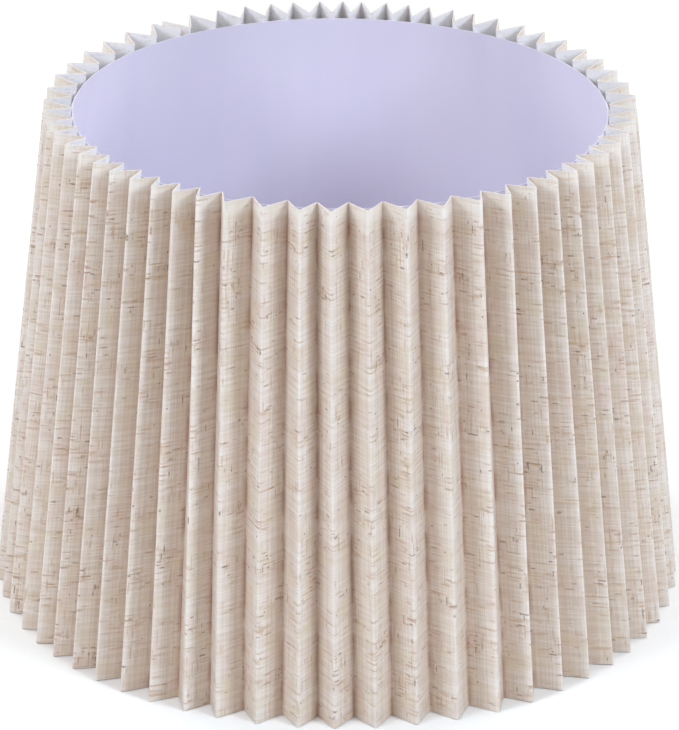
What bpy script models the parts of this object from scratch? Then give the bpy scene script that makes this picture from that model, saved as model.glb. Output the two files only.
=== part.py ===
"""Pleated, tapered lamp shade.

A long strip of laminated linen is folded into knife-edged accordion pleats and wrapped round a smooth
conical liner.  A flat hoop stiffens the top of the liner, and a wire ring the bottom.  The bottom ring
carries a reversible gimbal: two arched wires that hold a flat fitter ring, with a loose plastic reducer
ring in its hole.  Metres, +Z up, origin at the centre of the lower rim's plane.
"""

import math
import random

import bmesh
import bpy
from mathutils import Vector

# Overall size
HEIGHT = 0.2213
TOP_RIDGE_RADIUS = 0.1267
BOTTOM_RIDGE_RADIUS = 0.1522
TOP_VALLEY_RADIUS = 0.1149
BOTTOM_VALLEY_RADIUS = 0.1419

# The pleated strip: its two cut ends overlap by one panel at the seam
RIDGES = 60
COVER_THICKNESS = 0.0005
COVER_ROWS = 4
TOP_DIP = 0.0010  # the top edge dips this much at the inner folds
SEAM_AZIMUTH = 132.0
STRIP_SWEEP = 357.5
PLEAT_DRIFT = ((-1.4, -2.2), (1.6, -2.3), (1.6, -1.3))  # sine and cosine degrees, one pair a harmonic
PLEAT_JITTER = 0.5
PLEAT_SEED = 12772
TOP_LEANS = (  # azimuth, width and degrees of lean at the top, where the folds were glued askew
    (247.4, 9.5, -2.2),
    (269.4, 16.2, -1.4),
    (323.1, 13.0, -1.1),
    (350.7, 16.2, -1.9),
)
SWELL_AZIMUTH = 298.0
SWELL_WIDTH = 11.0
SWELL_HEIGHT = 0.0012

# The liner and what is glued to it
GAP = 0.0003
ROUND_STEPS = 90
FITTER_STEPS = 48
SMALL_STEPS = 20
BAND_THICKNESS = 0.0003
LINER_THICKNESS = 0.0005
LINER_OUTER_INSET = GAP + BAND_THICKNESS + GAP  # from the inner folds' tips
EDGE_INSET = 0.0039  # the liner is this much shorter than the cover at each end
BAND_MARGIN = 0.001
HOOP_HEIGHT = 0.008
GLUE_HEIGHT = 0.010
TAPE_AZIMUTH = 282.0
TAPE_WIDTH_DEGREES = 6.0
TAPE_INSET = 0.012

# Bottom ring and its two pivots, on the X axis
RING_WIRE_RADIUS = 0.0016
RING_CENTRE_HEIGHT = 0.0060
RING_RADIUS = 0.1379
RING_SIDES = 10
BEAD_FOOT = 0.0016  # above the ring's centre
BEAD_TOP = 0.0036
PIVOT_HEIGHT = 0.0140
PLATE_THICKNESS = 0.0012
WASHER_THICKNESS = 0.0004
LUG_HALF_WIDTH = 0.0055
LUG_CLEARANCE = 0.0005  # the flat lug against the curved ring
LUG_FOOT_HEIGHT = 0.0044
EYE_RADIUS = 0.0050
WASHER_RADIUS = 0.0042
RIVET_RADIUS = 0.0020
RIVET_HEAD_RADIUS = 0.0036
RIVET_HEAD_THICKNESS = 0.0010

# Gimbal, fitter ring and reducer
GIMBAL_WIRE_RADIUS = 0.0015
WIRE_STEPS = 16
STRAIGHT_HALF = 0.022  # each wire runs straight this far along the fitter ring's edge
FITTER_HEIGHT = 0.0520
FITTER_OUTER_RADIUS = 0.0280
FITTER_HOLE_RADIUS = 0.0210
FITTER_THICKNESS = 0.0015
FITTER_CHAMFER = 0.0003
REDUCER_FLANGE_RADIUS = 0.0255
REDUCER_SPIGOT_RADIUS = 0.0206
REDUCER_HOLE_RADIUS = 0.0145
REDUCER_FLANGE_THICKNESS = 0.0020
REDUCER_DEPTH = 0.0035
REDUCER_CHAMFER = 0.0006

# Places along X of the pivot stack, from the ring inwards
LUG_OUTER_X = RING_RADIUS - RING_WIRE_RADIUS - LUG_CLEARANCE
LUG_INNER_X = LUG_OUTER_X - PLATE_THICKNESS
WASHER_OUTER_X = LUG_INNER_X - GAP
WASHER_INNER_X = WASHER_OUTER_X - WASHER_THICKNESS
TAB_OUTER_X = WASHER_INNER_X - GAP
TAB_INNER_X = TAB_OUTER_X - PLATE_THICKNESS


def clear_scene():
    for old in list(bpy.data.objects):
        bpy.data.objects.remove(old, do_unlink=True)


def make_collection(name):
    collection = bpy.data.collections.new(name)
    bpy.context.scene.collection.children.link(collection)
    return collection


def make_material(name, colour, roughness, metallic=0.0):
    material = bpy.data.materials.new(name)
    material.use_nodes = True
    shader = material.node_tree.nodes["Principled BSDF"]
    shader.inputs["Base Color"].default_value = (*colour, 1.0)
    shader.inputs["Roughness"].default_value = roughness
    shader.inputs["Metallic"].default_value = metallic
    return material


def world_place(obj):
    """Where an unrotated pivot stands in the world; no parent is the world's origin."""
    place = Vector()
    while obj is not None:
        place += obj.location
        obj = obj.parent
    return place


def add_object(name, data, collection, material, parent=None):
    """Link data as an object whose points are world coordinates, whatever its parent."""
    obj = bpy.data.objects.new(name, data)
    collection.objects.link(obj)
    data.materials.append(material)
    obj.parent = parent
    obj.location = -world_place(parent)
    return obj


def add_pivot(name, place, collection, parent=None):
    """An empty on a joint's axis, which carries the pieces that move with it."""
    pivot = bpy.data.objects.new(name, None)
    pivot.empty_display_size = 0.01
    collection.objects.link(pivot)
    pivot.parent = parent
    pivot.location = Vector(place) - world_place(parent)
    return pivot


def mesh_from(name, points, faces):
    mesh = bpy.data.meshes.new(name)
    mesh.from_pydata(points, [], faces)
    body = bmesh.new()
    body.from_mesh(mesh)
    bmesh.ops.recalc_face_normals(body, faces=body.faces)
    body.to_mesh(mesh)
    body.free()
    return mesh


# ---- the wall's cone and the pleats ----

def between(low, high, share):
    return low + (high - low) * share


def valley_radius(height):
    """Radius of the inner folds' tips, which the liner and its bands follow."""
    return between(BOTTOM_VALLEY_RADIUS, TOP_VALLEY_RADIUS, height / HEIGHT)


def swell(azimuth):
    """How far the folds stand off the liner where the pleats are spread widest."""
    return SWELL_HEIGHT * math.exp(-(((azimuth - SWELL_AZIMUTH) / SWELL_WIDTH) ** 2))


def lean(azimuth):
    """How far, in degrees, a fold's top end stands from straight above its foot."""
    total = 0.0
    for centre, width, amount in TOP_LEANS:
        away = (azimuth - centre + 180) % 360 - 180
        total += amount * math.exp(-((away / width) ** 2))
    return total


def ridge_azimuths():
    """Outer folds in degrees: an even pitch, a slow drift round the shade and a little hand-made jitter."""
    jitter = random.Random(PLEAT_SEED)
    azimuths = []
    for index in range(RIDGES):
        share = index / (RIDGES - 1)
        turn = 2 * math.pi * share
        azimuth = SEAM_AZIMUTH + STRIP_SWEEP * share + jitter.uniform(-PLEAT_JITTER, PLEAT_JITTER)
        for harmonic, (sine, cosine) in enumerate(PLEAT_DRIFT, start=1):
            azimuth += sine * math.sin(harmonic * turn) + cosine * (math.cos(harmonic * turn) - 1)
        azimuths.append(azimuth)
    return azimuths


def fold_azimuths():
    """Inner and outer folds in turn, from one cut end of the strip to the other."""
    ridges = ridge_azimuths()
    folds = [ridges[0] - (ridges[1] - ridges[0]) / 2]
    for index, ridge in enumerate(ridges):
        folds.append(ridge)
        if index + 1 < len(ridges):
            folds.append((ridge + ridges[index + 1]) / 2)
    return folds


def zigzag(share):
    """The strip's centre line at a share of its height, through the valley tips and ridge tips in turn."""
    ridge_radius = between(BOTTOM_RIDGE_RADIUS, TOP_RIDGE_RADIUS, share)
    inner_radius = between(BOTTOM_VALLEY_RADIUS, TOP_VALLEY_RADIUS, share)
    points = []
    for index, azimuth in enumerate(fold_azimuths()):
        if index % 2:
            radius = ridge_radius - COVER_THICKNESS
            height = HEIGHT * share
        else:
            radius = inner_radius + COVER_THICKNESS
            height = (HEIGHT - TOP_DIP) * share
        radius += swell(azimuth % 360)
        angle = math.radians(azimuth + share * lean(azimuth))
        points.append(Vector((radius * math.cos(angle), radius * math.sin(angle), height)))
    return points


def offset_line(points, distance):
    """The line moved sideways, at its own heights, by distance, with mitred corners."""
    normals = []
    for start, end in zip(points, points[1:]):
        along = (end - start).xy.normalized()
        normals.append(Vector((along.y, -along.x, 0.0)))
    moved = []
    for index, point in enumerate(points):
        before = normals[max(index - 1, 0)]
        after = normals[min(index, len(normals) - 1)]
        moved.append(point + (before + after) * (distance / (1 + before.dot(after))))
    return moved


def strip_mesh(name, sections, thickness):
    """A standing strip of even thickness, lofted through its centre lines from low to high.

    Its panels are twisted, so both of its sides are split along the same diagonals.
    """
    points = []
    for line in sections:
        for side in (thickness / 2, -thickness / 2):
            points.extend(offset_line(line, side))
    count = len(sections[0])

    def corner(level, side, index):
        return (2 * level + side) * count + index

    faces = []
    for level in range(len(sections) - 1):
        for side in (0, 1):
            for index in range(count - 1):
                low = corner(level, side, index)
                high = corner(level + 1, side, index)
                faces.append((low, low + 1, high + 1))
                faces.append((low, high + 1, high))
        for end in (0, count - 1):
            faces.append((
                corner(level, 0, end),
                corner(level + 1, 0, end),
                corner(level + 1, 1, end),
                corner(level, 1, end),
            ))
    for level in (0, len(sections) - 1):
        for index in range(count - 1):
            outer = corner(level, 0, index)
            inner = corner(level, 1, index)
            faces.append((outer, outer + 1, inner + 1))
            faces.append((outer, inner + 1, inner))
    return mesh_from(name, points, faces)


def build_cover(collection, material):
    sections = [zigzag(level / COVER_ROWS) for level in range(COVER_ROWS + 1)]
    mesh = strip_mesh("pleated_cover", sections, COVER_THICKNESS)
    add_object("pleated_cover", mesh, collection, material)


# ---- turned pieces, plates and wires ----

def turned(name, profile, collection, material, steps=ROUND_STEPS, parent=None):
    """A (radius, height) outline, its outer side from top to bottom, turned about Z.

    An outline that starts and ends on the axis stays open; any other is closed.
    """
    mesh = bpy.data.meshes.new(name)
    points = [(radius, 0.0, height) for radius, height in profile]
    edges = [(index, index + 1) for index in range(len(points) - 1)]
    if profile[0][0] > 0:
        edges.append((len(points) - 1, 0))
    mesh.from_pydata(points, edges, [])
    obj = add_object(name, mesh, collection, material, parent)
    screw = obj.modifiers.new("Turn", "SCREW")
    screw.angle = math.tau
    screw.steps = steps
    screw.render_steps = steps
    screw.use_merge_vertices = True
    screw.merge_threshold = 0.00001
    screw.use_smooth_shade = True
    return obj


def cone_band(name, low, high, outer_inset, thickness, collection, material):
    """A thin band that follows the liner's cone, its outer face outer_inset inside the inner folds."""
    high_radius = valley_radius(high) - outer_inset
    low_radius = valley_radius(low) - outer_inset
    profile = (
        (high_radius, high),
        (low_radius, low),
        (low_radius - thickness, low),
        (high_radius - thickness, high),
    )
    return turned(name, profile, collection, material)


def build_liner(collection, materials):
    top = HEIGHT - EDGE_INSET
    cone_band("liner", EDGE_INSET, top, LINER_OUTER_INSET, LINER_THICKNESS, collection, materials["liner"])
    bands = (
        ("top_hoop", top - BAND_MARGIN - HOOP_HEIGHT, HOOP_HEIGHT, "steel_strip"),
        ("middle_glue_band", (HEIGHT - GLUE_HEIGHT) / 2, GLUE_HEIGHT, "glue_tape"),
        ("bottom_glue_band", EDGE_INSET + BAND_MARGIN, GLUE_HEIGHT, "glue_tape"),
    )
    for name, low, tall, material in bands:
        cone_band(name, low, low + tall, GAP, BAND_THICKNESS, collection, materials[material])
    build_seam_tape(collection, materials["liner_tape"])


def arc_line(radius, height, centre_degrees, width_degrees, points=5):
    start = centre_degrees - width_degrees / 2
    angles = [math.radians(start + width_degrees * index / (points - 1)) for index in range(points)]
    return [Vector((radius * math.cos(angle), radius * math.sin(angle), height)) for angle in angles]


def build_seam_tape(collection, material):
    """The tape inside the liner that closes its lap joint."""
    inset = LINER_OUTER_INSET + LINER_THICKNESS + GAP + BAND_THICKNESS / 2
    low = EDGE_INSET + TAPE_INSET
    high = HEIGHT - EDGE_INSET - BAND_MARGIN
    sections = [
        arc_line(valley_radius(height) - inset, height, TAPE_AZIMUTH, TAPE_WIDTH_DEGREES)
        for height in (low, high)
    ]
    mesh = strip_mesh("liner_seam_tape", sections, BAND_THICKNESS)
    add_object("liner_seam_tape", mesh, collection, material)


def build_bottom_ring(collection, material):
    angles = [math.tau * (index + 0.5) / RING_SIDES for index in range(RING_SIDES)]
    profile = [
        (
            RING_RADIUS + RING_WIRE_RADIUS * math.sin(angle),
            RING_CENTRE_HEIGHT + RING_WIRE_RADIUS * math.cos(angle),
        )
        for angle in angles
    ]
    turned("bottom_ring", profile, collection, material)


def build_glue_bead(collection, material):
    """The fillet of glue in the wedge between the bottom ring and the liner."""
    inset = LINER_OUTER_INSET + LINER_THICKNESS + GAP
    top = RING_CENTRE_HEIGHT + BEAD_TOP
    foot = RING_CENTRE_HEIGHT + BEAD_FOOT
    profile = (
        (valley_radius(top) - inset, top),
        (valley_radius(foot) - inset, foot),
        (RING_RADIUS, RING_CENTRE_HEIGHT + RING_WIRE_RADIUS + GAP),
    )
    turned("ring_glue_bead", profile, collection, material)


def ring_points(radius, count=24):
    angles = [math.tau * index / count for index in range(count)]
    return [(radius * math.cos(angle), radius * math.sin(angle)) for angle in angles]


def plate(name, outlines, thickness, collection, material, parent=None):
    """A flat plate from closed outlines, the first its edge and the others its holes, lying in local XY."""
    curve = bpy.data.curves.new(name, "CURVE")
    curve.dimensions = "2D"
    curve.fill_mode = "BOTH"
    curve.extrude = thickness / 2
    for outline in outlines:
        spline = curve.splines.new("POLY")
        spline.points.add(len(outline) - 1)
        spline.use_cyclic_u = True
        for point, (x, y) in zip(spline.points, outline):
            point.co = (x, y, 0.0, 1.0)
    return add_object(name, curve, collection, material, parent)


def upright_plate_outline(half_width, foot, eye_radius, steps=12):
    """A tab standing from foot (below 0) to a round eye about 0: local X is its width, local Y its height."""
    outline = [(-half_width, foot), (half_width, foot)]
    for index in range(steps + 1):
        angle = math.pi * index / steps
        outline.append((eye_radius * math.cos(angle), eye_radius * math.sin(angle)))
    return outline


def stand_across_x(obj, side, x):
    """Turn a plate from local XY to world YZ and put its middle at x on one side's pivot axis."""
    obj.rotation_euler = (math.pi / 2, 0.0, math.pi / 2)
    obj.location = Vector((side * x, 0.0, PIVOT_HEIGHT)) - world_place(obj.parent)


def rivet(name, side, collection, material):
    """A rivet along X through lug, washer and tab, with a head at each end."""
    outer_face = LUG_OUTER_X + GAP
    inner_face = TAB_INNER_X - GAP
    bevel = RIVET_HEAD_THICKNESS / 2
    profile = (
        (0.0, outer_face + RIVET_HEAD_THICKNESS),
        (RIVET_HEAD_RADIUS - bevel, outer_face + RIVET_HEAD_THICKNESS),
        (RIVET_HEAD_RADIUS, outer_face + RIVET_HEAD_THICKNESS - bevel),
        (RIVET_HEAD_RADIUS, outer_face),
        (RIVET_RADIUS, outer_face),
        (RIVET_RADIUS, inner_face),
        (RIVET_HEAD_RADIUS, inner_face),
        (RIVET_HEAD_RADIUS, inner_face - RIVET_HEAD_THICKNESS + bevel),
        (RIVET_HEAD_RADIUS - bevel, inner_face - RIVET_HEAD_THICKNESS),
        (0.0, inner_face - RIVET_HEAD_THICKNESS),
    )
    obj = turned(name, profile, collection, material, SMALL_STEPS)
    obj.rotation_euler = (0.0, side * math.pi / 2, 0.0)
    obj.location = (0.0, 0.0, PIVOT_HEIGHT)


def build_pivots(collection, materials, gimbal):
    hole = ring_points(RIVET_RADIUS + GAP)
    lug_outline = upright_plate_outline(LUG_HALF_WIDTH, LUG_FOOT_HEIGHT - PIVOT_HEIGHT, LUG_HALF_WIDTH)
    for side, word in ((-1, "left"), (1, "right")):
        lug = plate(f"pivot_lug_{word}", (lug_outline, hole), PLATE_THICKNESS,
                    collection, materials["steel_wire"])
        stand_across_x(lug, side, (LUG_OUTER_X + LUG_INNER_X) / 2)
        washer = plate(f"friction_washer_{word}", (ring_points(WASHER_RADIUS), hole), WASHER_THICKNESS,
                       collection, materials["washer"])
        stand_across_x(washer, side, (WASHER_OUTER_X + WASHER_INNER_X) / 2)
        rivet(f"pivot_rivet_{word}", side, collection, materials["steel_wire"])
        tab = plate(f"gimbal_tab_{word}", (ring_points(EYE_RADIUS), hole), PLATE_THICKNESS,
                    collection, materials["steel_wire"], gimbal)
        stand_across_x(tab, side, (TAB_OUTER_X + TAB_INNER_X) / 2)


def smooth_share(share):
    return share * share * (3 - 2 * share)


def gimbal_wire_points(side):
    """Half of one arched wire: along the fitter ring's edge, then out and down to the eye's side."""
    start_y = FITTER_OUTER_RADIUS + GIMBAL_WIRE_RADIUS + GAP
    end_y = EYE_RADIUS + GIMBAL_WIRE_RADIUS + GAP
    end_x = (TAB_OUTER_X + TAB_INNER_X) / 2
    fitter_middle = FITTER_HEIGHT + FITTER_THICKNESS / 2
    points = [Vector((0.0, side * start_y, fitter_middle))]
    for index in range(WIRE_STEPS + 1):
        share = index / WIRE_STEPS
        bend = smooth_share(share)
        points.append(Vector((
            between(STRAIGHT_HALF, end_x, share),
            side * between(start_y, end_y, bend),
            between(fitter_middle, PIVOT_HEIGHT, bend),
        )))
    return points


def build_gimbal_wires(collection, material, gimbal):
    for side, word in ((-1, "front"), (1, "back")):
        half = gimbal_wire_points(side)
        mirrored = [Vector((-point.x, point.y, point.z)) for point in reversed(half[1:])]
        route = mirrored + half
        curve = bpy.data.curves.new(f"gimbal_wire_{word}", "CURVE")
        curve.dimensions = "3D"
        curve.bevel_depth = GIMBAL_WIRE_RADIUS
        curve.bevel_resolution = 2
        curve.use_fill_caps = True
        spline = curve.splines.new("POLY")
        spline.points.add(len(route) - 1)
        for point, place in zip(spline.points, route):
            point.co = (*place, 1.0)
        add_object(f"gimbal_wire_{word}", curve, collection, material, gimbal)


def build_fitter(collection, materials, gimbal):
    top = FITTER_HEIGHT + FITTER_THICKNESS
    chamfer = FITTER_CHAMFER
    profile = (
        (FITTER_OUTER_RADIUS - chamfer, top),
        (FITTER_OUTER_RADIUS, top - chamfer),
        (FITTER_OUTER_RADIUS, FITTER_HEIGHT + chamfer),
        (FITTER_OUTER_RADIUS - chamfer, FITTER_HEIGHT),
        (FITTER_HOLE_RADIUS, FITTER_HEIGHT),
        (FITTER_HOLE_RADIUS, top),
    )
    turned("fitter_ring", profile, collection, materials["steel_wire"], FITTER_STEPS, gimbal)


def build_reducer(collection, material, reducer):
    flange_foot = FITTER_HEIGHT + FITTER_THICKNESS + GAP
    flange_top = flange_foot + REDUCER_FLANGE_THICKNESS
    spigot_foot = flange_foot - REDUCER_DEPTH
    chamfer = REDUCER_CHAMFER
    profile = (
        (REDUCER_FLANGE_RADIUS - chamfer, flange_top),
        (REDUCER_FLANGE_RADIUS, flange_top - chamfer),
        (REDUCER_FLANGE_RADIUS, flange_foot),
        (REDUCER_SPIGOT_RADIUS, flange_foot),
        (REDUCER_SPIGOT_RADIUS, spigot_foot + chamfer),
        (REDUCER_SPIGOT_RADIUS - chamfer, spigot_foot),
        (REDUCER_HOLE_RADIUS, spigot_foot),
        (REDUCER_HOLE_RADIUS, flange_top),
    )
    turned("reducer_ring", profile, collection, material, FITTER_STEPS, reducer)


def build_materials():
    return {
        "linen": make_material("linen", (0.78, 0.70, 0.58), 0.9),
        "liner": make_material("liner", (0.62, 0.61, 0.78), 0.5),
        "liner_tape": make_material("liner_tape", (0.74, 0.73, 0.84), 0.4),
        "glue_tape": make_material("glue_tape", (0.80, 0.80, 0.76), 0.6),
        "glue": make_material("clear_glue", (0.84, 0.83, 0.78), 0.3),
        "steel_strip": make_material("white_steel_strip", (0.86, 0.86, 0.86), 0.45),
        "steel_wire": make_material("white_painted_steel", (0.86, 0.86, 0.86), 0.4),
        "washer": make_material("fibre_washer", (0.30, 0.24, 0.18), 0.8),
        "plastic": make_material("white_plastic", (0.88, 0.88, 0.86), 0.35),
    }


def main():
    clear_scene()
    collection = make_collection("pleated_lamp_shade")
    materials = build_materials()
    gimbal = add_pivot("gimbal_axis", (0.0, 0.0, PIVOT_HEIGHT), collection)
    reducer = add_pivot("reducer_axis", (0.0, 0.0, FITTER_HEIGHT), collection, gimbal)
    build_cover(collection, materials["linen"])
    build_liner(collection, materials)
    build_bottom_ring(collection, materials["steel_wire"])
    build_glue_bead(collection, materials["glue"])
    build_pivots(collection, materials, gimbal)
    build_gimbal_wires(collection, materials["steel_wire"], gimbal)
    build_fitter(collection, materials, gimbal)
    build_reducer(collection, materials["plastic"], reducer)


main()
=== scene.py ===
"""Looks of the pleated lamp shade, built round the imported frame.  Metres, +Z up."""

import math
import random

import bmesh
import bpy
from mathutils import Matrix, Vector, noise


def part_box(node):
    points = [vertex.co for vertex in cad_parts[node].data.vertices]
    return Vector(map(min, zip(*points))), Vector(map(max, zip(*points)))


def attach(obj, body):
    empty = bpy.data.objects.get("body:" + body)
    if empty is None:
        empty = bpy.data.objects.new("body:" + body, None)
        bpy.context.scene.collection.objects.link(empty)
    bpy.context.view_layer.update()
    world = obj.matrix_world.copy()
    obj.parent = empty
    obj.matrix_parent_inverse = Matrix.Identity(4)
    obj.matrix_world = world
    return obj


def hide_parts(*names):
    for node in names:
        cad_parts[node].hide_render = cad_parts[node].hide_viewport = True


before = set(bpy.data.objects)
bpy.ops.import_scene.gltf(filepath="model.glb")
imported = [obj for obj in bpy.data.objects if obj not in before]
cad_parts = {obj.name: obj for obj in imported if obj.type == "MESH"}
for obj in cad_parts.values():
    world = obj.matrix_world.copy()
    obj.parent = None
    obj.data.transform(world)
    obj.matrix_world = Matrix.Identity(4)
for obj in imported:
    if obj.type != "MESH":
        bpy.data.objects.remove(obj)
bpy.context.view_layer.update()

# ---- sizes shared with the CAD source ----

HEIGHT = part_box("pleated_cover")[1].z
TOP_RIDGE_RADIUS = 0.1267
BOTTOM_RIDGE_RADIUS = 0.1522
TOP_VALLEY_RADIUS = 0.1149
BOTTOM_VALLEY_RADIUS = 0.1419
RIDGES = 60
SEAM_AZIMUTH = 132.0
STRIP_SWEEP = 357.5
PLEAT_DRIFT = ((-1.4, -2.2), (1.6, -2.3), (1.6, -1.3))
PLEAT_JITTER = 0.5
PLEAT_SEED = 12772
TOP_LEANS = ((247.4, 9.5, -2.2), (269.4, 16.2, -1.4), (323.1, 13.0, -1.1), (350.7, 16.2, -1.9))
TOP_DIP = 0.0010
SWELL_AZIMUTH = 298.0
SWELL_WIDTH = 11.0
SWELL_HEIGHT = 0.0012
LINER_INSET = 0.0009
TAPE_AZIMUTH = 282.0
PIVOT_HEIGHT = 0.0140
RING_RADIUS = 0.1379
RING_WIRE_RADIUS = 0.0016
RING_HEIGHT = 0.0060
GAP = 0.0003  # between neighbouring metal pieces
PLATE_THICKNESS = 0.0012
LUG_HALF_WIDTH = 0.0055
WASHER_RADIUS = 0.0042
WASHER_THICKNESS = 0.0004
EYE_RADIUS = 0.0050
EYE_END = 0.1330  # an eye plate's weld, along X
RIVET_HOLE_RADIUS = 0.0023
RIVET_RADIUS = 0.0020
RIVET_HEAD_RADIUS = 0.0036
RIVET_DOME = 0.0010
GIMBAL_WIRE_RADIUS = 0.0015
WIRE_STRAIGHT = 0.022  # the wires run straight this far each way along the fitter ring
FITTER_OUTER_RADIUS = 0.0280
FITTER_HOLE_RADIUS = 0.0210
REDUCER_FLANGE_RADIUS = 0.0255
REDUCER_FLANGE_THICKNESS = 0.0020
REDUCER_SPIGOT_RADIUS = 0.0206
REDUCER_HOLE_RADIUS = 0.0145

# ---- the cover strip, as it is folded here ----

COVER_THICKNESS = 0.00048
COVER_ROWS = 44
RIDGE_BEND = 0.00060  # radius of the centre line round an outer fold
VALLEY_BEND = 0.00035
RIDGE_ARC = 5
VALLEY_ARC = 3
PANEL_STEPS = 3
FOLD_WANDER = 0.00030
PANEL_BOW = 0.00035
EDGE_UNEVENNESS = 0.00030
WARP_PITCH = 0.00055
WEFT_PITCH = 0.00070


def between(low, high, share):
    return low + (high - low) * share


def smooth_share(share):
    share = min(max(share, 0.0), 1.0)
    return share * share * (3 - 2 * share)


def valley_radius(height):
    return between(BOTTOM_VALLEY_RADIUS, TOP_VALLEY_RADIUS, height / HEIGHT)


def polar(radius, azimuth, height=0.0):
    angle = math.radians(azimuth)
    return Vector((radius * math.cos(angle), radius * math.sin(angle), height))


def linear(red, green, blue):
    """A colour given as 0-255 screen values, in linear light."""
    shares = [value / 255 for value in (red, green, blue)]
    return tuple(s / 12.92 if s <= 0.04045 else ((s + 0.055) / 1.055) ** 2.4 for s in shares)


# ---- material graphs ----

# painted light: a paler band along the cover's top, standing in for light shining through the cloth where
# no liner backs it
PAINTED_GLOW_HEIGHTS = (HEIGHT - 0.0055, HEIGHT - 0.0005)  # the cover grows paler between these heights
LINER_TINT = (0.757, 0.719, 0.858)
LINER_TINT_PALE = (0.780, 0.741, 0.870)


class Graph:
    """Shorthand for one material's nodes."""

    def __init__(self, name, roughness=0.5, **constants):
        self.material = bpy.data.materials.new(name)
        self.material.use_nodes = True
        self.nodes = self.material.node_tree.nodes
        self.links = self.material.node_tree.links
        self.shader = self.nodes["Principled BSDF"]
        self.shader.inputs["Roughness"].default_value = roughness
        for socket, value in constants.items():
            self.shader.inputs[socket.replace("_", " ")].default_value = value

    def feed(self, socket, value):
        if isinstance(value, bpy.types.NodeSocket):
            self.links.new(value, socket)
        elif isinstance(value, tuple) and len(value) == 3 and socket.type == "RGBA":
            socket.default_value = (*value, 1.0)
        else:
            socket.default_value = value

    def math(self, operation, *values, clamp=False):
        node = self.nodes.new("ShaderNodeMath")
        node.operation = operation
        node.use_clamp = clamp
        for socket, value in zip(node.inputs, values):
            self.feed(socket, value)
        return node.outputs[0]

    def mix(self, share, start, end):
        node = self.nodes.new("ShaderNodeMix")
        node.data_type = "RGBA"
        self.feed(node.inputs[0], share)
        self.feed(node.inputs[6], start)
        self.feed(node.inputs[7], end)
        return node.outputs[2]

    def step(self, value, low, high, start=0.0, end=1.0):
        """A soft step of value from low to high."""
        node = self.nodes.new("ShaderNodeMapRange")
        node.interpolation_type = "SMOOTHSTEP"
        for socket, given in zip(node.inputs, (value, low, high, start, end)):
            self.feed(socket, given)
        return node.outputs[0]

    def join(self, x, y, z=0.0):
        node = self.nodes.new("ShaderNodeCombineXYZ")
        for socket, value in zip(node.inputs, (x, y, z)):
            self.feed(socket, value)
        return node.outputs[0]

    def split(self, vector):
        node = self.nodes.new("ShaderNodeSeparateXYZ")
        self.feed(node.inputs[0], vector)
        return node.outputs

    def noise(self, vector, scale=1.0, detail=1.0, roughness=0.5, dimensions="3D"):
        node = self.nodes.new("ShaderNodeTexNoise")
        node.noise_dimensions = dimensions
        self.feed(node.inputs["Vector"], vector)
        node.inputs["Scale"].default_value = scale
        node.inputs["Detail"].default_value = detail
        node.inputs["Roughness"].default_value = roughness
        return node.outputs[0]

    def scaled_noise(self, x, y, x_length, y_length, detail=1.0, offset=0.0):
        """Noise over a plane, with features about x_length by y_length."""
        across = self.math("MULTIPLY_ADD", x, 1 / x_length, offset)
        up = self.math("MULTIPLY_ADD", y, 1 / y_length, offset * 0.37)
        return self.noise(self.join(across, up), detail=detail, dimensions="2D")

    def cells(self, x, y=0.0):
        node = self.nodes.new("ShaderNodeTexWhiteNoise")
        node.noise_dimensions = "2D"
        self.feed(node.inputs["Vector"], self.join(x, y))
        return node.outputs["Value"]

    def object_place(self):
        return self.nodes.new("ShaderNodeTexCoord").outputs["Object"]

    def uv(self, name):
        node = self.nodes.new("ShaderNodeUVMap")
        node.uv_map = name
        return node.outputs[0]

    def attribute(self, name):
        node = self.nodes.new("ShaderNodeAttribute")
        node.attribute_name = name
        return node.outputs["Fac"]

    def bump(self, height, depth, strength=1.0):
        """Relief of depth metres where height goes from 0 to 1."""
        node = self.nodes.new("ShaderNodeBump")
        node.inputs["Strength"].default_value = strength
        node.inputs["Distance"].default_value = depth
        self.feed(node.inputs["Height"], height)
        self.links.new(node.outputs[0], self.shader.inputs["Normal"])

    def colour(self, value):
        self.feed(self.shader.inputs["Base Color"], value)

    def rough(self, value):
        self.feed(self.shader.inputs["Roughness"], value)


def thread_places(graph):
    """Where a point lies among the threads: its place, and each thread's number and the way across it."""
    along, up, _ = graph.split(graph.uv("unfolded"))
    sway = graph.math("MULTIPLY_ADD", graph.scaled_noise(along, up, 0.030, 0.011), 0.0016, up)
    lean = graph.math("MULTIPLY_ADD", graph.scaled_noise(along, up, 0.011, 0.040, offset=40), 0.0013, along)
    weft = graph.math("DIVIDE", sway, WEFT_PITCH)
    warp = graph.math("DIVIDE", lean, WARP_PITCH)
    return {
        "along": along,
        "up": up,
        "weft": graph.math("FLOOR", weft),
        "weft_across": graph.math("FRACT", weft),
        "warp": graph.math("FLOOR", warp),
        "warp_across": graph.math("FRACT", warp),
    }


def thread_noise(graph, along, thread, length, offset, detail=1.0):
    """Noise that runs along each thread on its own."""
    row = graph.math("MULTIPLY_ADD", thread, 7.31, offset)
    place = graph.math("MULTIPLY_ADD", along, 1 / length, offset)
    return graph.noise(graph.join(place, row), detail=detail, dimensions="2D")


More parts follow.
